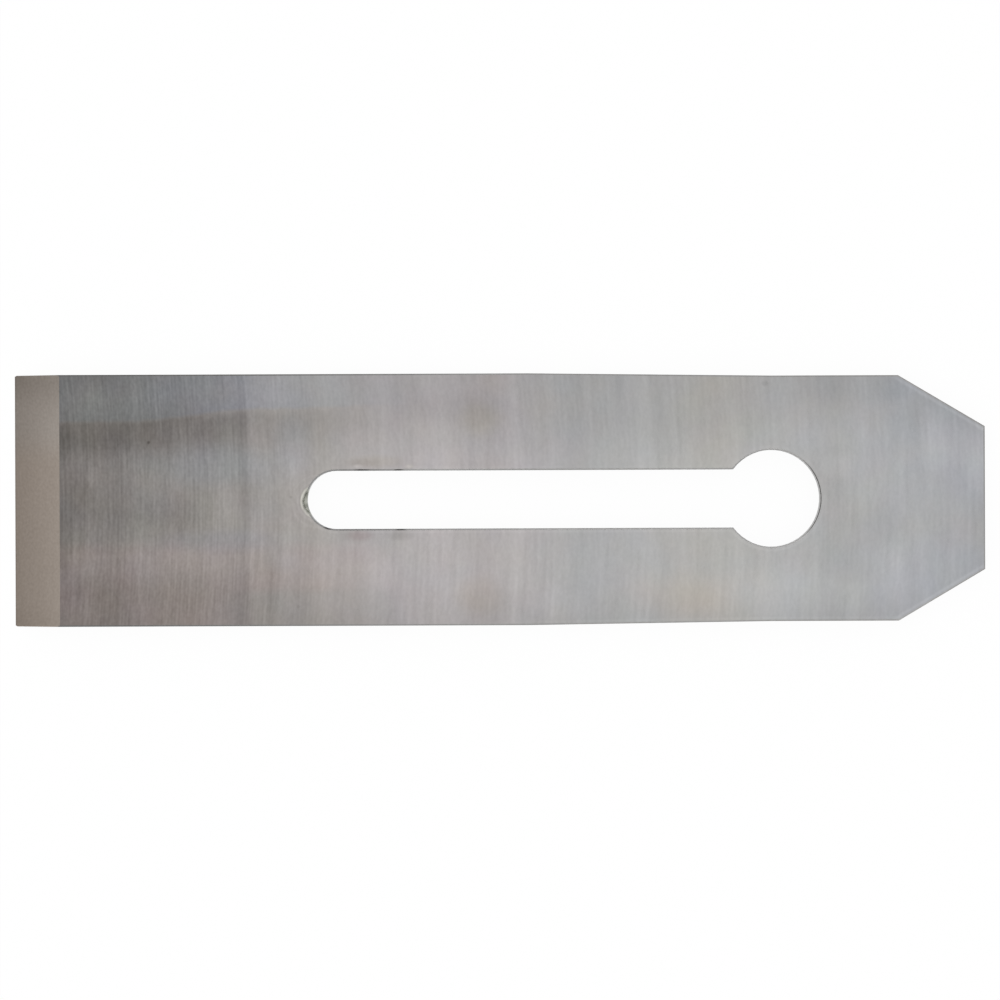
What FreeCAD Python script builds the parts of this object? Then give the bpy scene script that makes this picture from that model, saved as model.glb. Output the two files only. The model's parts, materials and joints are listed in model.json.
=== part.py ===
import FreeCAD, Part
import math
import os

os.makedirs("parts", exist_ok=True)

# A plane iron: the thick steel blade of a wooden or infill bench plane. It is one flat bar with
# a bevel ground across one end, two corners clipped off the other, and a keyhole slot that takes
# the screw of a cap iron. The screw's head passes through the round hole at the head end and then
# slides down the narrow slot towards the cutting edge.
#
# The iron lies on its flat back, bevel side up. +X runs from the cutting edge to the head, +Y
# across the width and +Z up. The origin is on the back, under the middle of the length and width.

# Driving sizes, in millimetres and degrees. Places along the iron are measured from the cutting
# edge or from the head end, as a toolmaker would mark them out.
length = 200.0
width = 51.8
thickness = 4.5
bevel_angle = 25.0

# The sides are parallel at the cutting end. Further up they ease in a little, so that the head
# can be tapped sideways in the plane: by how much on each side, where that starts and how long
# it takes. Past it the sides are parallel again, up to the clipped corners.
side_easing = 0.65
easing_from_head = 94.0
easing_length = 50.0

# The clipped corners: how much of the length each takes, and the width left between them.
clip_length = 17.8
head_end_width = 29.4

# The keyhole: a slot with a round end, running into a round hole near the head.
slot_width = 12.0
slot_end_from_edge = 66.5
hole_diameter = 20.0
hole_from_head = 43.8

# The mark left on the bevel side where the slot was started: a shallow round sinking that
# runs off the slot's end, a little to one side of the centre line.
mark_diameter = 6.4
mark_floor_diameter = 5.7
mark_depth = 0.7
mark_from_slot_end = 3.7
mark_offset = 0.3

# The sharp arrises are broken by hand, a little more on the bevel side than on the back.
bevel_side_arris = 0.3
back_arris = 0.2

# The blank starts this much too long at the cutting end, and the grinding takes it off.
grinding_stock = 3.0

# Places in the iron's own frame, worked out from the sizes above.
edge_x = -length / 2
head_x = length / 2
slot_end_x = edge_x + slot_end_from_edge
hole_x = head_x - hole_from_head
easing_x = head_x - easing_from_head
head_width = width - 2 * side_easing
slope = math.tan(math.radians(bevel_angle))
bevel_run = thickness / slope


def point(x, y, z=0.0):
    return FreeCAD.Vector(x, y, z)


def blank_outline():
    """The iron's outline seen from above, with one side's points mirrored for the other."""
    side = [
        (edge_x - grinding_stock, width / 2),
        (easing_x, width / 2),
        (easing_x + easing_length, head_width / 2),
        (head_x - clip_length, head_width / 2),
        (head_x, head_end_width / 2),
    ]
    other_side = [(x, -y) for x, y in reversed(side)]
    corners = [point(x, y) for x, y in side + other_side]
    return Part.makePolygon(corners + corners[:1])


def keyhole_outline():
    """The slot's round end, its two straight sides, and the round hole that they break into."""
    half_slot = slot_width / 2
    hole_radius = hole_diameter / 2
    reach = math.sqrt(hole_radius ** 2 - half_slot ** 2)
    mouth_x = hole_x - reach
    end_left = point(slot_end_x, half_slot)
    end_tip = point(slot_end_x - half_slot, 0)
    end_right = point(slot_end_x, -half_slot)
    mouth_left = point(mouth_x, half_slot)
    mouth_right = point(mouth_x, -half_slot)
    far_side = point(hole_x + hole_radius, 0)
    return Part.Wire([
        Part.Arc(end_left, end_tip, end_right).toShape(),
        Part.LineSegment(end_right, mouth_right).toShape(),
        Part.Arc(mouth_right, far_side, mouth_left).toShape(),
        Part.LineSegment(mouth_left, end_left).toShape(),
    ])


def plate(outline):
    """A flat plate of the iron's thickness with the given outline."""
    return Part.Face(outline).extrude(point(0, 0, thickness))


def break_arrises(solid, height, size):
    """Chamfer every edge that lies flat at this height, apart from the blank's end."""
    blank_end = edge_x - grinding_stock
    chosen = []
    for edge in solid.Edges:
        box = edge.BoundBox
        lies_flat = abs(box.ZMin - height) < 0.001 and abs(box.ZMax - height) < 0.001
        at_blank_end = abs(box.XMax - blank_end) < 0.001
        if lies_flat and not at_blank_end:
            chosen.append(edge)
    return solid.makeChamfer(size, chosen)


def grinding_wedge():
    """All that the grinder takes away: the space above the bevel, past the iron on every side."""
    margin = grinding_stock + 1
    half_span = width / 2 + margin
    low = point(edge_x - margin, -half_span, -margin * slope)
    high = point(edge_x + bevel_run + margin, -half_span, thickness + margin * slope)
    above = point(edge_x - margin, -half_span, thickness + margin * slope)
    section = Part.Face(Part.makePolygon([low, high, above, low]))
    return section.extrude(point(0, 2 * half_span, 0))


def start_mark():
    """The round sinking at the slot's end: its half section, turned about an upright axis."""
    centre_x = slot_end_x - mark_from_slot_end
    floor_z = thickness - mark_depth
    rise = thickness + mark_depth
    wall_lean = (mark_diameter - mark_floor_diameter) / 2
    section = Part.makePolygon([
        point(centre_x, -mark_offset, floor_z),
        point(centre_x + mark_floor_diameter / 2, -mark_offset, floor_z),
        point(centre_x + mark_diameter / 2 + wall_lean, -mark_offset, rise),
        point(centre_x, -mark_offset, rise),
        point(centre_x, -mark_offset, floor_z),
    ])
    axis_foot = point(centre_x, -mark_offset, 0)
    return Part.Face(section).revolve(axis_foot, point(0, 0, 1), 360)


def plane_iron():
    """The whole iron, made in a toolmaker's order: blank, keyhole, arrises, bevel, start mark."""
    blank = plate(blank_outline())
    slotted = blank.cut(plate(keyhole_outline()))
    eased = break_arrises(slotted, thickness, bevel_side_arris)
    eased = break_arrises(eased, 0, back_arris)
    ground = eased.cut(grinding_wedge())
    marked = ground.cut(start_mark())
    return marked.removeSplitter()


iron = plane_iron()
iron.exportStep("parts/plane_iron.step")
print("solids", len(iron.Solids), "valid", iron.isValid())
print("size", round(iron.BoundBox.XLength, 3), round(iron.BoundBox.YLength, 3), round(iron.BoundBox.ZLength, 3))
print("steel, cubic millimetres", round(iron.Volume, 1))
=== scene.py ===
# %% [markdown]
# # The finish of a plane iron
#
# A plane iron is the thick steel blade of a wooden or infill bench plane. The solid comes ready
# made, at its real size, and this lesson gives it its looks: a surface-ground face with fine
# lines across the width, a matte bevel, broken arrises, and the small marks of its making.
#
# The shape stays as it is. All that changes over the steel is painted by place, in millimetres
# on the iron itself, so the finish stays put when the camera moves.

# %% Load the solid
import json
import math

import bpy
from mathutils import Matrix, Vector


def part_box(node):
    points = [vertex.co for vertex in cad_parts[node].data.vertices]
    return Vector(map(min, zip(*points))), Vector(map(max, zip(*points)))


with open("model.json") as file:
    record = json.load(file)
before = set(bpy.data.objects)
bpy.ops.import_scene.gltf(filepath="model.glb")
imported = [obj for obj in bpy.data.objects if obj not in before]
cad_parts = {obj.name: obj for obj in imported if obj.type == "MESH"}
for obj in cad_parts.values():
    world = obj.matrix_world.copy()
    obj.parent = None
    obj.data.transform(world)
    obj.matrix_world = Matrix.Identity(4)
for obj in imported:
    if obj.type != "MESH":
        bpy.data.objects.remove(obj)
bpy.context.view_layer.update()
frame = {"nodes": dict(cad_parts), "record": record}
iron = frame["nodes"]["plane_iron"]
print("iron:", len(iron.data.vertices), "points,", len(iron.data.polygons), "faces")

# %% [markdown]
# ## Where things are on the iron
#
# The finish needs a few places: the cutting edge, the head, the keyhole and the face's height.
# They are read from the solid's box and from its stated mounts where they can be, so that they
# follow the solid, and written down where they can't. All are in millimetres, because a
# toolmaker's marks and scratches are easier to think of in millimetres than in metres.

# %% Places on the iron, in millimetres
MM_PER_METRE = 1000.0
low, high = [corner * MM_PER_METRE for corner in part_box("plane_iron")]
edge_x = low.x
head_x = high.x
face_z = high.z
half_width = high.y
mounts = {mount["name"]: mount for mount in frame["record"]["mounts"]}
hole_x = mounts["keyhole"]["pos_m"][0] * MM_PER_METRE
hole_radius = mounts["keyhole"]["dims"]["r_mm"]
slot_half_width = 6.0
slot_end_from_edge = 66.5
slot_end_x = edge_x + slot_end_from_edge
print("length", round(head_x - edge_x, 2), "width", round(2 * half_width, 2))
print("height of the face over the back", round(face_z, 2))
print("round hole at", round(hole_x, 2), "- slot's end centred at", round(slot_end_x, 2))

# %% The clipped corners, the eased sides and the start mark
side_easing = 0.65
easing_from_head = 94.0
easing_length = 50.0
easing_start_x = head_x - easing_from_head
clip_length = 17.8
head_end_width = 29.4
clip_depth = half_width - side_easing - head_end_width / 2
mark_from_slot_end = 3.7
mark_x = slot_end_x - mark_from_slot_end
mark_y = -0.3
mark_radius = 3.2
print("sides ease in from", round(easing_start_x, 2), "over", easing_length)
print("clipped corners", clip_length, "by", round(clip_depth, 2))
print("start mark at", round(mark_x, 2))

# %% [markdown]
# ## Arithmetic on a surface
#
# A shader node holds one small sum, and a finish like this one has dozens. Wrapping a node's
# socket in a small class lets the sums be written as plain expressions: `tone * (1 + lines)`
# adds its own Math nodes. Every other kind of node comes from one method, which takes the
# node's type, its settings and what goes into its sockets.


# %% A number that changes over the surface
class Field:
    """A node's output, with which plain arithmetic can be done."""

    def __init__(self, board, socket):
        self.board = board
        self.socket = socket

    def __add__(self, other):
        return self.board.maths("ADD", self, other)

    def __radd__(self, other):
        return self.board.maths("ADD", other, self)

    def __sub__(self, other):
        return self.board.maths("SUBTRACT", self, other)

    def __rsub__(self, other):
        return self.board.maths("SUBTRACT", other, self)

    def __mul__(self, other):
        return self.board.maths("MULTIPLY", self, other)

    def __rmul__(self, other):
        return self.board.maths("MULTIPLY", other, self)

    def __truediv__(self, other):
        return self.board.maths("DIVIDE", self, other)

    def __pow__(self, other):
        return self.board.maths("POWER", self, other)

    def __abs__(self):
        return self.board.maths("ABSOLUTE", self, 0.0)


# %% A board that nodes are laid out on
class Board:
    """A node tree that is emptied first and then filled through one method."""

    def __init__(self, tree):
        self.tree = tree
        self.tree.nodes.clear()

    def node(self, kind, settings=None, inputs=None):
        """Add a node: its settings first, then a value or a link for each named socket."""
        made = self.tree.nodes.new(kind)
        for name, value in (settings or {}).items():
            if name == "stops":
                self.set_stops(made.color_ramp, value)
            else:
                setattr(made, name, value)
        for name, value in (inputs or {}).items():
            if isinstance(value, Field):
                self.tree.links.new(value.socket, made.inputs[name])
            else:
                made.inputs[name].default_value = value
        return made

    def field(self, kind, settings=None, inputs=None, output=0):
        """Add a node and return one of its outputs, ready for arithmetic."""
        return Field(self, self.node(kind, settings, inputs).outputs[output])

    def maths(self, operation, first, second):
        """One sum on two numbers, either of which may be a field."""
        return self.field("ShaderNodeMath", {"operation": operation}, {0: first, 1: second})

    @staticmethod
    def set_stops(ramp, stops):
        """Give a ramp its stops: a place from 0 to 1 and a grey for each."""
        while len(ramp.elements) < len(stops):
            ramp.elements.new(1.0)
        for element, (place, grey) in zip(ramp.elements, stops):
            element.position = place
            element.color = (grey, grey, grey, 1.0)


# %% [markdown]
# ## Borders, spots and distances
#
# A few small tools draw everything. `ease` rises smoothly from 0 to 1 between two values and
# makes every soft border. `near` is 1 at a place and falls to 0 at a reach from it. `reading`
# looks a number up in a curve with a few chosen points, by way of a grey ramp, which is how a
# shader holds a curve.


# %% Small tools for the finish
def ease(field, start, end):
    """0 at start, 1 at end, and a smooth rise between them."""
    limits = {"Value": field, "From Min": start, "From Max": end}
    return field.board.field("ShaderNodeMapRange", {"interpolation_type": "SMOOTHSTEP"}, limits)


def near(field, centre, reach):
    """1 at the centre, falling to 0 at this reach on both sides of it."""
    return ease(abs(field - centre), reach, 0.0)


def distance(first, second):
    """How far a point is from 0, 0, from its two distances."""
    return (first * first + second * second) ** 0.5


def lesser(first, second):
    """The smaller of two numbers."""
    return first.board.maths("MINIMUM", first, second)


def greater(first, second):
    """The larger of two numbers."""
    return first.board.maths("MAXIMUM", first, second)


def blended(first, second, share):
    """The first number turned into the second by a share from 0 to 1."""
    return first + (second - first) * share


def reading(field, points):
    """Look a number up in a curve: pairs of a place and a value, the values under full_scale."""
    first_place = points[0][0]
    span = points[-1][0] - first_place
    full_scale = 256.0
    stops = [((place - first_place) / span, value / full_scale) for place, value in points]
    share = (field - first_place) / span
    return field.board.field("ShaderNodeValToRGB", {"stops": stops}, {"Fac": share}) * full_scale


# %% [markdown]
# ## A place and a facing for every point
#
# Object coordinates give each point of the steel its own place, and the object's own normal
# says which way its surface faces. Together they tell the parts of the iron apart: the broad
# face looks straight up, the bevel leans towards the cutting edge, the arrises lean at 45
# degrees, and the walls stand upright. Painting by facing follows the solid exactly, with no
# border drawn by hand.

# %% Start the steel's board
steel = bpy.data.materials.new("ground_steel")
steel.use_nodes = True
board = Board(steel.node_tree)
coordinates = board.node("ShaderNodeTexCoord")
to_millimetres = {0: Field(board, coordinates.outputs["Object"]), 3: MM_PER_METRE}
place = board.field("ShaderNodeVectorMath", {"operation": "SCALE"}, to_millimetres)
place_parts = board.node("ShaderNodeSeparateXYZ", None, {0: place})
along, across, height = [Field(board, part) for part in place_parts.outputs]
facing = Field(board, coordinates.outputs["Normal"])
facing_parts = board.node("ShaderNodeSeparateXYZ", None, {0: facing})
facing_x, _, facing_z = [Field(board, part) for part in facing_parts.outputs]
from_edge = along - edge_x
print("steel board started")

# %% Tell the parts of the iron apart
is_face = ease(facing_z, 0.95, 0.98)
is_bevel = ease(facing_z, 0.85, 0.88) * ease(facing_x, -0.30, -0.36) * (1 - is_face)
is_arris = ease(facing_z, 0.30, 0.36) * (1 - ease(facing_z, 0.80, 0.85))
is_wall = (1 - ease(facing_z, 0.30, 0.36)) * ease(facing_z, -0.95, -0.90)
is_back = 1 - ease(facing_z, -0.95, -0.90)
print("face, bevel, arrises, walls and back told apart")

# %% How far a point is from the keyhole, the outline and the start mark
past_slot = greater(greater(slot_end_x - along, along - hole_x), 0.0)
from_slot = distance(past_slot, across) - slot_half_width
from_hole = distance(along - hole_x, across) - hole_radius
from_keyhole = lesser(from_slot, from_hole)
beside_keyhole = 1 - ease(from_keyhole, 0.5, 1.0)
easing_share = (along - easing_start_x) / easing_length
narrowing = side_easing * lesser(greater(easing_share, 0.0), 1.0)
from_side = half_width - narrowing - abs(across)
clip_span = math.hypot(clip_length, clip_depth)
before_clip = head_x - clip_length - along
from_clip = (from_side * clip_length + before_clip * clip_depth) / clip_span
from_mark = distance(along - mark_x, across - mark_y)
in_mark = 1 - ease(from_mark, mark_radius - 0.05, mark_radius + 0.05)
print("distances laid, to keyhole, side, clipped corner and start mark")

# %% [markdown]
# ## Grinding lines
#
# A large cup wheel swept over the iron from side to side, and each grain on it scratched a line
# across the width. So the lines aren't quite straight: each is a piece of the wheel's own
# circle, furthest towards the head in the middle. Nor are they endless: a scratch starts, runs
# for a few millimetres or a few centimetres and fades. Noise that is squeezed along the iron
# and drawn out across it gives just that, once the place along the iron is bent to the wheel's
# circle. Several sizes are laid over each other: long hairlines, middling ones, short nicks, a
# fine grain, wider strands, and the broad bands that each pass of the wheel leaves. Towards the
# head the hairlines are wider.

# %% Bend the place along the iron to the wheel's circle
WHEEL_RADIUS = 300.0
swept = along + across * across / (2 * WHEEL_RADIUS)
bow = half_width ** 2 / (2 * WHEEL_RADIUS)
print("a line stands", round(bow, 2), "mm further on in the middle than at the sides")


# %% Noise, and lines of a chosen width and length
def noise(first, second, third, detail, roughness=0.5):
    """A noise from -1 to 1, about 0 on average, read at a place given by three numbers."""
    spot = board.field("ShaderNodeCombineXYZ", None, {0: first, 1: second, 2: third})
    inputs = {"Vector": spot, "Scale": 1.0, "Detail": detail, "Roughness": roughness}
    return board.field("ShaderNodeTexNoise", None, inputs) * 2 - 1


def lines(width, length, seed, detail=0.0):
    """Scratches across the iron, of this width and length in millimetres."""
    return noise(swept / width, across / length, seed, detail, 0.6)


head_half = ease(from_edge, 45.0, 85.0)
hairlines = blended(lines(0.48, 22.0, 3.1), lines(0.86, 22.0, 5.9), head_half)
middling = blended(lines(0.52, 9.0, 11.7), lines(0.90, 9.0, 13.2), head_half)
nicks = lines(0.55, 1.6, 19.3)
strands = lines(2.4, 40.0, 23.9)
passes = lines(11.0, 300.0, 31.4, 1.0)
grain = ease(lines(0.50, 0.70, 47.2), -0.4, 0.4) * 2 - 1
scratches = hairlines * 0.52 + middling * 0.48 + nicks * 0.46 + strands * 0.36 + grain * 0.15
print("grinding lines laid")

# %% [markdown]
# ## The tone of the ground face
#
# Ground steel isn't one grey. The iron is darker and stronger in its lines near the cutting
# edge, and paler and quieter towards the head. The tone is worked out in the levels of a
# screen, from 0 for black to 255 for white, because that is how a picture of it is read, and
# is turned into the shader's linear light at the very end. A painted picture could hold the tone,
# but it would blur close up, while a curve with a few points stays sharp and is easy to change.
# One curve carries the tone from the cutting edge to the head, measured where the face is palest
# across its width. Its darkening towards the cutting edge is partly painted reflection, standing
# in for a darker surround mirrored on that side, and partly the steel's own tone.

# %% Tone from the cutting edge to the head
TONE_AND_REFLECTION_ALONG = [
    (0.0, 133.0),
    (22.0, 133.0),
    (33.0, 146.0),
    (45.0, 149.0),
    (56.0, 158.0),
    (67.0, 168.0),
    (76.0, 176.0),
    (90.0, 176.0),
    (108.0, 173.0),
    (130.0, 175.0),
    (155.0, 176.0),
    (168.0, 171.0),
    (180.0, 174.0),
    (192.0, 170.0),
    (200.0, 167.0),
]
# the darkening towards the cutting edge is partly painted reflection, partly the steel's own tone
tone_and_reflection_along = reading(from_edge, TONE_AND_REFLECTION_ALONG)
print("curve along the iron with", len(TONE_AND_REFLECTION_ALONG), "points")

# %% [markdown]
# Across the width the tone swells and falls. Over most of the iron it does so gently, a little
# greyer at both sides. Near the cutting edge it does so strongly, and this strong pattern is a
# painted reflection of a dark shape above the iron, mirrored by the ground face: a dull strip
# along the upper side, a clear border, a dark band under it that recovers towards the middle, and
# a pale swell in the lower half. The band's border climbs slowly towards the head, so the strong
# curve is looked up at a place that is bent by that climb. Each curve holds percents of the full
# tone.

# %% Tone across the width
TONE_ACROSS = [
    (-26.0, 93.5),
    (-18.0, 98.5),
    (-11.0, 98.8),
    (8.0, 98.5),
    (16.0, 93.5),
    (26.0, 92.0),
]
# painted reflection near the cutting edge: a dull strip, a border, a dark band and a pale swell
REFLECTION_ACROSS_NEAR_EDGE = [
    (-26.0, 89.0),
    (-19.0, 90.0),
    (-13.5, 98.5),
    (-11.5, 100.0),
    (-8.0, 95.5),
    (-3.0, 90.5),
    (5.0, 95.0),
    (8.1, 93.0),
    (9.6, 88.5),
    (11.3, 82.0),
    (12.6, 79.5),
    (15.5, 78.0),
    (16.3, 85.0),
    (20.5, 90.0),
    (26.0, 86.5),
]
border_climb = 2.6 * ease(from_edge, 22.0, 52.0) + 0.9 * ease(from_edge, 52.0, 85.0)
bent_across = across - border_climb * ease(across, 2.0, 14.0) + strands * 0.2
across_plain = reading(across, TONE_ACROSS)
across_with_reflection = reading(bent_across, REFLECTION_ACROSS_NEAR_EDGE)
print("two curves across the width, the strong one with", len(REFLECTION_ACROSS_NEAR_EDGE), "points")

# %% [markdown]
# The strong curve, with its painted reflection, holds near the cutting edge only. It gives way to
# the gentle one over a few millimetres in the middle, and over a long stretch along the lower
# side. The painted reflected dark band runs on a little further, paler, up to a line right across
# the iron, where one setting of the grinder met the next. The whole face is a shade darker just
# before that line, and past it only a faint rest of the painted band is left.

# %% Join the two curves, the strong one holding the painted reflection
lower_side = ease(across, -9.0, -16.0)
strong_up_to = 37 + 20 * lower_side
giving_way_over = 8 + 30 * lower_side
reflection_near_edge = ease((from_edge - strong_up_to) / giving_way_over, 1.0, 0.0)
# where the painted reflected dark band lies, and how far it runs on
in_reflected_band = ease(bent_across, 6.3, 9.0) * ease(bent_across, 16.8, 14.3)
past_setting = ease(from_edge + 0.012 * across, 48.1, 49.1)
reflected_band_before = 1 - 0.36 * ease(from_edge, 39.5, 45.0)
reflected_band_after = 0.22 * ease(from_edge, 76.0, 58.0)
reflection_share = greater(reflection_near_edge, in_reflected_band * blended(reflected_band_before, reflected_band_after, past_setting))
tone_across = blended(across_plain, across_with_reflection, reflection_share) / 100
before_setting = ease(from_edge, 44.0, 47.2) * (1 - past_setting)
overall_lift = 1.0
setting_shade = 5.0
face_level = tone_and_reflection_along * tone_across + overall_lift - setting_shade * before_setting
print("curves joined")

# %% [markdown]
# ## Passes of the wheel
#
# A grinder steps along the iron between its strokes, so each pass leaves a band of its own
# tone right across. A slow noise makes the many faint ones. The few that stand out are listed
# by place, half-width and change of tone, and a loop adds them.

# %% Passes that stand out
PASSES = [
    (20.5, 3.0, -3.0),
    (42.3, 4.0, 4.5),
    (47.85, 0.8, -4.0),
    (50.5, 4.5, 3.5),
    (56.0, 2.5, 4.0),
    (60.8, 4.0, -4.5),
    (79.2, 2.0, -3.0),
    (96.5, 8.0, -6.5),
    (103.6, 2.5, 3.5),
    (111.6, 2.2, 3.0),
    (116.5, 3.5, -3.0),
    (130.0, 4.5, 2.5),
    (134.0, 2.5, -3.0),
    (149.5, 3.0, 1.5),
    (169.5, 5.0, -3.5),
]
swept_from_edge = swept - edge_x
for pass_x, pass_reach, change in PASSES:
    face_level = face_level + change * near(swept_from_edge, pass_x, pass_reach)
pass_strength = 9.0 - 5.0 * ease(from_edge, 90.0, 130.0)
face_level = face_level + passes * pass_strength
print("passes that stand out:", len(PASSES))

# %% [markdown]
# ## Clouds and marks on the face
#
# The grinder didn't bite evenly, so the face has soft clouds, from half a centimetre to a few
# centimetres long and a few levels paler or darker. It also has small marks of its making: three
# specks, a soft stain, and smudges beside the slot, where the cutter that milled it ran hot, with
# two bright rubbed spots. A noise would put them anywhere, so they are listed. Each is an
# ellipse with a soft border. A row gives the place of its middle, how far it reaches along and
# across, and how many levels it adds, and a loop goes down the lists. A dark fringe lies along
# the middle of the bevel's heel.


# %% Soft spots
def soft_spot(x, y, reach_x, reach_y):
    """1 in the middle of an ellipse on the face, falling to 0 at its rim."""
    shrink = (1 / reach_x, 1 / reach_y, 0.0)
    shift = (-x / reach_x, -y / reach_y, 0.0)
    inputs = {0: place, 1: shrink, 2: shift}
    from_middle = board.field("ShaderNodeVectorMath", {"operation": "MULTIPLY_ADD"}, inputs)
    spread = board.field("ShaderNodeVectorMath", {"operation": "LENGTH"}, {0: from_middle}, "Value")
    return ease(spread, 1.0, 0.2)


CLOUDS = [
    (-43.0, 23.5, 16.0, 8.0, 8.0),
    (-9.0, 18.5, 15.0, 4.5, -5.0),
    (68.0, 14.5, 16.0, 8.0, 7.0),
    (100.0, 9.0, 6.0, 12.0, 9.0),
    (78.0, -5.5, 9.0, 7.0, -5.0),
    (60.0, -20.0, 22.0, 9.0, 7.0),
    (-66.0, -3.0, 3.0, 6.0, -4.0),
    (-48.5, -14.5, 3.5, 9.0, -5.0),
    (-51.0, 1.5, 3.0, 7.0, -5.0),
    (-83.0, 17.0, 9.0, 7.0, 8.0),
    (-86.5, 2.5, 3.0, 7.0, -6.0),
    (-83.5, 5.0, 2.0, 3.5, 7.0),
    (-81.5, 23.0, 5.0, 4.5, 6.0),
    (-86.0, -13.5, 5.0, 4.0, 4.0),
    (-86.0, -22.5, 6.0, 4.5, 6.0),
    (-65.5, 20.0, 4.0, 6.0, -5.0),
    (-49.5, -17.5, 3.0, 5.0, 5.0),
    (-56.0, -1.5, 3.2, 8.0, 5.0),
    (-41.5, 21.0, 2.5, 7.0, -5.0),
    (-41.5, 7.0, 4.0, 7.0, 5.0),
    (-27.0, 11.0, 9.0, 5.0, 3.0),
    (-24.5, -15.0, 4.0, 6.0, 7.0),
    (-17.0, 22.0, 9.0, 7.0, -4.0),
    (-35.0, -19.0, 20.0, 7.0, 6.0),
    (-3.5, 18.0, 5.0, 8.0, -4.0),
    (-2.0, -21.0, 9.0, 6.0, -6.0),
    (12.0, -22.0, 9.0, 6.0, 6.0),
    (70.0, 6.5, 5.0, 4.0, 7.0),
    (74.0, -13.0, 4.0, 8.0, -4.0),
    (80.5, -15.0, 4.0, 9.0, 4.0),
    (80.0, 23.0, 5.0, 5.0, -6.0),
    (91.0, 12.0, 7.5, 9.0, 8.5),
]
MARKS = [
    (-72.0, 11.95, 0.42, 0.50, -26.0),
    (-42.8, 0.6, 0.45, 0.45, -12.0),
    (-41.3, -21.9, 0.60, 0.50, -9.0),
    (54.8, 23.6, 1.10, 0.80, -9.0),
    (-28.9, 6.95, 1.30, 0.60, 15.0),
    (-18.6, 6.85, 1.10, 0.50, 11.0),
    (-24.5, 7.7, 8.0, 1.9, -4.0),
    (-28.0, 7.7, 4.0, 1.2, -7.0),
    (-20.3, -7.3, 3.8, 1.6, -12.0),
    (-28.8, -7.2, 5.2, 2.0, -13.0),
]
for spot_x, spot_y, spot_reach_x, spot_reach_y, change in CLOUDS + MARKS:
    face_level = face_level + change * soft_spot(spot_x, spot_y, spot_reach_x, spot_reach_y)
heel_middle = ease(across, -17.0, -13.0) * (1 - ease(across, 12.0, 16.5))
heel_fringe = (1 - ease(from_edge, 9.4, 13.5)) * heel_middle
fringe_darkness = 13.0
face_level = face_level - fringe_darkness * heel_fringe
print("clouds:", len(CLOUDS), "marks:", len(MARKS))

# %% [markdown]
# ## Lines and painted edge highlights on the face
#
# The grinding lines are laid over the tone, strongest near the cutting edge. The face is painted
# a little brighter just inside some of its edges, a painted highlight of light caught along the
# edge: round the keyhole, most of all on its lower side, at the clipped corners, and along the
# iron's lower side towards the head.

# %% Lay the lines and the painted edge highlights over the tone
line_strength = 14.4 - 5.9 * ease(from_edge, 25.0, 80.0) - 1.2 * ease(from_edge, 95.0, 140.0)
face_level = face_level + scratches * line_strength
lower_rear = ease(across, 0.0, -4.0) * ease(from_edge, 90.0, 120.0)
# painted highlight just inside the keyhole's edge, the clipped corners' edges and the lower side
keyhole_edge_highlight = near(from_keyhole, 0.65, 0.45) * (5 - 3 * ease(across, -2.0, 3.0))
corner_edge_highlight = near(from_clip, 0.75, 0.55) * 9 * ease(from_edge, 178.0, 184.0)
side_edge_highlight = near(from_side, 0.65, 0.45) * 4 * lower_rear
face_level = face_level + keyhole_edge_highlight + corner_edge_highlight + side_edge_highlight
print("lines and rubbed edges laid over the tone")

# %% [markdown]
# ## The start mark
#
# Where the slot was started, a cutter left a shallow round sinking that the slot then ran
# into, so only a crescent of it is left. It threw up a burr round itself, painted bright as a
# highlight of the light it catches, with two faint rings beyond it. Its floor wasn't ground, and is
# a mottled, slightly greenish grey, darkest along the rim, where painted shade stands in for the
# shadow of the sinking's wall. The solid has the sinking itself, so only its tones are needed,
# and they are laid by how far a point is from its centre.

# %% Burr round the start mark with its painted highlight, and its floor with painted shade
mottle = lines(0.75, 0.95, 71.3)
# the burr ring is real; its brightness is a painted highlight
burr_and_glint = near(from_mark, mark_radius + 0.26, 0.36) * (1 - 0.3 * ease(across, -1.0, -2.5))
halo = near(from_mark, mark_radius + 0.95, 0.50) * 6 + near(from_mark, mark_radius + 2.15, 0.40) * 4
burr_glint_brightness = 33 + 24 * mottle
face_level = face_level + burr_and_glint * burr_glint_brightness + halo
# painted shade along the inside of the rim, where the sinking's wall shades its floor
shade_inside_rim = near(from_mark, 2.75, 0.5)
mark_level = 172 - 22 * shade_inside_rim + mottle * 50
print("start mark laid, radius", mark_radius)

# %% [markdown]
# ## The bevel
#
# The bevel was ground on a finer wheel and left matte. It is a warm grey with only a fine
# speckle, and grows paler from the edge to the heel, so a straight line does for its tone. It is
# darker at the very edge and at both ends, more so at the upper one, and a little paler in one
# place near the heel.

# %% Tone of the bevel
speckle = lines(0.45, 0.60, 83.9)
level_at_edge = 126.0
rise_per_millimetre = 1.95
very_edge = 1 - ease(from_edge, 0.1, 0.4)
bevel_level = level_at_edge + rise_per_millimetre * from_edge - 8 * very_edge
bevel_level = bevel_level - 13 * ease(across, 17.6, 26.0) - 4 * ease(across, -20.0, -25.5)
bevel_level = bevel_level + 4 * soft_spot(-92.0, 13.5, 5.0, 6.0)
bevel_level = bevel_level + speckle * 6.0 + nicks * 2.0 + middling * 2.0
print("bevel toned")

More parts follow.
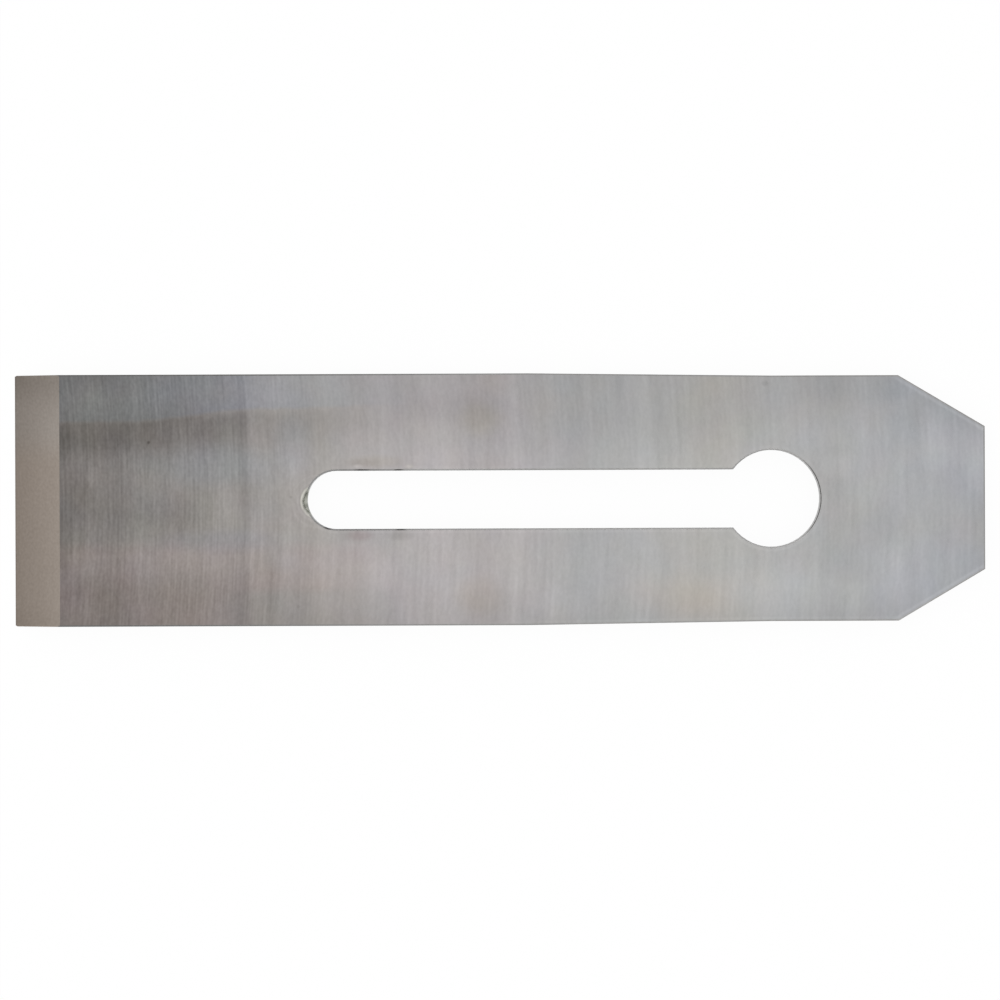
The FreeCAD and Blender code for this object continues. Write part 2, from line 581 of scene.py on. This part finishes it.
# %% [markdown]
# ## Arrises, walls and back
#
# An arris that is broken by hand catches the light along its upper lip and stays dull below, and
# both are painted: a painted highlight along the upper lip and painted shade below it. It could
# have a material of its own, but here it takes a share of the tone of the face beside it. It is
# duller round the outline than round the keyhole, where it is painted paler as a highlight, duller
# near the cutting edge than near the head, and dullest on the far side of the round hole, which is
# painted shade. It is a shade paler at the clipped corners and round the slot's end, painted
# highlights again. Beside the slot a few burrs were left on it, and they look nearly black. The
# walls were ground lengthwise, so their lines run level, round the outline and round the keyhole,
# and the narrow arrises of the back are painted with them. The back was ground like the face and
# is the more even of the two.

# %% Tone of the arrises, with painted highlight and shade
BURRS = [
    (-28.1, 6.1, 2.0, 0.9),
    (-20.6, 6.1, 1.2, 0.9),
    (-20.2, -6.1, 1.4, 0.9),
    (-35.3, -5.8, 1.0, 0.9),
]
# the upper lip carries a painted highlight, the part below it painted shade
upper_lip = ease(height, face_z - 0.20, face_z - 0.08)
# painted highlight on the arrises round the keyhole and the slot's end
keyhole_arris_highlight = 0.08 + 0.16 * ease(along, -26.0, -14.0) + 0.09 * ease(along, -31.5, -34.5)
dull_front = (0.04 + 0.06 * ease(across, 0.0, 4.0)) * ease(from_edge, 100.0, 75.0)
# a painted highlight at the clipped corners, less the arris's dulling near the cutting edge
outline_change = 0.05 * (1 - ease(from_clip, 0.4, 0.7)) - dull_front
arris_share = 0.78 + 0.10 * upper_lip + 0.05 * lower_rear
arris_share = arris_share + blended(outline_change, keyhole_arris_highlight, beside_keyhole)
# painted shade on the arris on the far side of the round hole, deepest below the upper lip
far_side_shade = beside_keyhole * ease(along - hole_x, 5.5, 9.5)
far_side_shade_depth = 84 - 72 * upper_lip
arris_level = tone_and_reflection_along * arris_share - far_side_shade * far_side_shade_depth + middling * 8
burr_darkness = 70.0
for burr_x, burr_y, burr_reach_x, burr_reach_y in BURRS:
    burr_spot = soft_spot(burr_x, burr_y, burr_reach_x, burr_reach_y)
    arris_level = arris_level - burr_darkness * burr_spot
print("burrs on the slot's arrises:", len(BURRS))

# %% Tone of the walls and the back
level_line_length = 16.0
level_line_width = 0.34
level_along = along / level_line_length
level_across = across / level_line_length
level_lines = noise(level_along, level_across, height / level_line_width, 2.0)
wall_level = 146 + level_lines * 34
back_level = 164 + scratches * 9 + passes * 6
print("walls and back toned")

# %% [markdown]
# ## Tints
#
# The greys lean a little. Three curves of colour could say so, but a tint is seen as a difference
# from grey, so two numbers are easier to set: how many levels the red stands above the green at
# each place, and how many the blue does. The half near the cutting edge is warm,
# and pinkish along its lower side. The strip above the dark band is bluish, and so is the head,
# and just before the round hole the steel is slightly yellow. A slow noise breaks the borders up
# into soft patches.


# %% Warm and cool patches on the face
def patches(size, seed):
    """Soft patches of about this size in millimetres."""
    return noise(along / size, across / size, seed, 1.0)


past_border = ease(bent_across, 15.7, 16.8) * ease(from_edge, 86.0, 62.0)
pink_side = ease(across, -7.5, -11.0) * (1 - ease(from_edge, 60.0, 84.0))
pink_side = pink_side * (1 - 0.8 * ease(across, -17.5, -20.0) * ease(from_edge, 42.0, 48.0))
blue_strip = past_border * near(from_edge, 46.0, 22.0)
blue_head = ease(from_edge, 168.0, 188.0) * (1 - 0.8 * near(across, -5.0, 7.5))
yellow_stretch = near(from_edge, 144.0, 16.0)
redness = 4 * (1 - ease(from_edge, 98.0, 122.0)) + 4 * pink_side - 4 * past_border
redness = redness + yellow_stretch * 1.5 - blue_head * 1.3 + patches(7.0, 5.7) * 2.5
blueness = -3 * (1 - ease(from_edge, 62.0, 78.0)) + 3 * past_border + 4 * blue_strip
blueness = blueness - yellow_stretch * 3 + blue_head * 3.3 + patches(8.0, 61.3) * 3.0
print("broad tints laid")

# %% [markdown]
# A few places have a tint of their own: four patches between the dark band and the pinkish side
# that are nearly neutral, three warm clouds further up, and the smudges beside the slot, which
# go from yellowish to pink as the tempering colours of heated steel do. A row gives the place
# of the middle, the two reaches, and how much redder and bluer the place is. The burr round the
# start mark is a little yellow too.

# %% Tinted places
TINTED = [
    (-58.0, 7.0, 20.0, 6.5, -3.8, 3.8),
    (-42.0, 11.0, 6.0, 8.0, -2.5, 3.5),
    (-56.0, -8.5, 20.0, 3.5, -1.0, 3.5),
    (-45.0, -12.0, 6.0, 4.0, -2.5, 2.0),
    (-4.0, 16.5, 6.0, 5.0, 0.5, -4.5),
    (-4.0, -19.5, 7.0, 6.0, 3.0, -3.5),
    (38.0, -20.0, 14.0, 7.0, 4.0, -3.5),
    (-28.5, -7.3, 3.8, 1.6, 4.5, 0.5),
    (-25.5, 7.8, 7.5, 2.0, 1.5, -4.0),
    (-18.4, 6.9, 1.4, 0.7, 0.0, -3.0),
]
for spot_x, spot_y, spot_reach_x, spot_reach_y, more_red, more_blue in TINTED:
    tinted = soft_spot(spot_x, spot_y, spot_reach_x, spot_reach_y)
    redness = redness + more_red * tinted
    blueness = blueness + more_blue * tinted
redness = redness - 3 * burr_and_glint
blueness = blueness - 6 * burr_and_glint
print("tinted places:", len(TINTED))

# %% [markdown]
# ## From levels to light
#
# Each part of the iron has its level by now. They are put together by facing. Away from the face
# the tints are simple: the bevel is warm, a little less so at one end, and the floor of the start
# mark is greenish. Then each of the three colours is turned from a screen level into linear light
# with the curve that screens use.

# %% Put the parts together
level = blended(face_level, bevel_level, is_bevel)
level = blended(level, arris_level, is_arris)
level = blended(level, wall_level, is_wall)
level = blended(level, back_level, is_back)
level = blended(level, mark_level, in_mark * (1 - is_back))
is_plain = is_bevel + is_arris + is_wall + is_back
upper_end = ease(across, 7.0, 15.0)
plain_redness = 1.0 + (9.0 - 2.5 * upper_end) * is_bevel
plain_blueness = -1.0 - (8.0 - 2.0 * upper_end) * is_bevel
redness = blended(redness, plain_redness, is_plain)
blueness = blended(blueness, plain_blueness, is_plain)
redness = blended(redness, -1.0, in_mark)
blueness = blended(blueness, -8.0, in_mark)
print("parts put together, with their tints")

# %% Turn levels into light
SCREEN_WHITE = 255
CURVE_OFFSET = 0.055
CURVE_POWER = 2.4


def to_light(screen_level):
    """A screen level from 0 to 255 as linear light."""
    return ((screen_level / SCREEN_WHITE + CURVE_OFFSET) / (1 + CURVE_OFFSET)) ** CURVE_POWER


green = level - (redness + blueness) / 3
light_parts = {0: to_light(green + redness), 1: to_light(green), 2: to_light(green + blueness)}
colour = board.field("ShaderNodeCombineColor", None, light_parts)
print("colour put together")

# %% [markdown]
# ## Gloss and relief
#
# The steel is a bare metal with a soft gloss. The start mark's floor is the most matte, then the
# bevel, then the walls. The scratches are very shallow: a few thousandths of a millimetre, enough
# to break a highlight up into lines when the iron is tilted. Nobody would model them one by one,
# so a bump bends the light instead.

# %% Finish the steel
gloss_lines = blended(scratches, level_lines, is_wall)
roughness = 0.30 + 0.04 * gloss_lines + 0.12 * is_bevel + 0.06 * is_wall + 0.15 * in_mark
relief_height = blended(nicks + strands * 0.5, level_lines, is_wall)
relief_depth = 0.004 / MM_PER_METRE
relief_inputs = {"Strength": 1.0, "Distance": relief_depth, "Height": relief_height}
relief = board.field("ShaderNodeBump", None, relief_inputs)
surface_inputs = {"Base Color": colour, "Metallic": 1.0, "Roughness": roughness, "Normal": relief}
principled = board.field("ShaderNodeBsdfPrincipled", None, surface_inputs)
board.node("ShaderNodeOutputMaterial", None, {"Surface": principled})
iron.data.materials.clear()
iron.data.materials.append(steel)
print("steel nodes:", len(steel.node_tree.nodes))

# %% [markdown]
# ## Floor
#
# The iron lies on a plain white surface, so its outline and its keyhole stand clear. More light
# would whiten the floor too, but it would bleach the steel with it. So the floor gives back white
# to the camera and to mirrored rays by itself, and keeps a share of the soft shadow, so the iron
# is seen to lie on something.

# %% Lay the floor
FLOOR_SIZE = 12.0
PAPER_WHITE = (0.97, 0.97, 0.97, 1.0)
PURE_WHITE = (1.0, 1.0, 1.0, 1.0)
SHARE_OF_PURE_WHITE = 0.95
bpy.ops.mesh.primitive_plane_add(size=FLOOR_SIZE)
floor = bpy.context.object
floor.name = "floor"
paper = bpy.data.materials.new("white_floor")
paper.use_nodes = True
paper_board = Board(paper.node_tree)
lit = paper_board.field("ShaderNodeBsdfDiffuse", None, {"Color": PAPER_WHITE})
white = paper_board.field("ShaderNodeEmission", None, {"Color": PURE_WHITE, "Strength": 1.0})
rays = paper_board.node("ShaderNodeLightPath")
looked_at = Field(paper_board, rays.outputs["Is Camera Ray"])
mirrored = Field(paper_board, rays.outputs["Is Glossy Ray"])
through = Field(paper_board, rays.outputs["Is Transmission Ray"])
whiteness = (looked_at + mirrored + through) * SHARE_OF_PURE_WHITE
surface = paper_board.field("ShaderNodeMixShader", None, {0: whiteness, 1: lit, 2: white})
paper_board.node("ShaderNodeOutputMaterial", None, {"Surface": surface})
floor.data.materials.append(paper)
print("floor laid")

# %% [markdown]
# ## Light
#
# A photographer's table: white walls all round, and a white ceiling that is a shade paler on
# the head's side than on the cutting edge's side. Bare metal only shows what it mirrors, so an
# even room is what makes its colour come out about as it is written.

# %% Light the room
world = bpy.data.worlds.new("studio")
bpy.context.scene.world = world
world.use_nodes = True
sky = Board(world.node_tree)
sky_place = Field(sky, sky.node("ShaderNodeTexCoord").outputs["Generated"])
sky_parts = sky.node("ShaderNodeSeparateXYZ", None, {0: sky_place})
sideways, _, upwards = [Field(sky, part) for part in sky_parts.outputs]
ceiling = 0.96 + 0.10 * ease(sideways, -0.45, 0.45)
brightness = blended(1.02, ceiling, ease(upwards, 0.42, 0.68))
background_inputs = {"Color": PURE_WHITE, "Strength": brightness}
background = sky.field("ShaderNodeBackground", None, background_inputs)
sky.node("ShaderNodeOutputWorld", None, {"Surface": background})
print("room lit")

# %% [markdown]
# ## Camera
#
# The picture was taken from straight above and from well back, since no wall of the keyhole
# shows. The lens follows from the height of the camera over the iron and from how long the
# iron is in the picture, and the small shift and turn place it as the photographer did.

# %% Set the camera
CAMERA_HEIGHT = 0.830
CAMERA_SHIFT = (0.000227, -0.000138)
CAMERA_TURN_DEGREES = -0.215
PICTURE_WIDTH = 1000
PIXELS_PER_METRE = 4836.0
SENSOR_WIDTH = 36.0
camera_data = bpy.data.cameras.new("camera")
camera = bpy.data.objects.new("camera", camera_data)
bpy.context.scene.collection.objects.link(camera)
camera_data.sensor_width = SENSOR_WIDTH
camera_data.lens = SENSOR_WIDTH * PIXELS_PER_METRE * CAMERA_HEIGHT / PICTURE_WIDTH
camera.location = (*CAMERA_SHIFT, CAMERA_HEIGHT)
camera.rotation_euler = (0.0, 0.0, math.radians(CAMERA_TURN_DEGREES))
camera_data.clip_start = 0.01
camera_data.clip_end = 100.0
bpy.context.scene.camera = camera
bpy.context.scene.view_settings.view_transform = "Standard"
print("lens", round(camera_data.lens, 1), "mm, from", CAMERA_HEIGHT, "m")
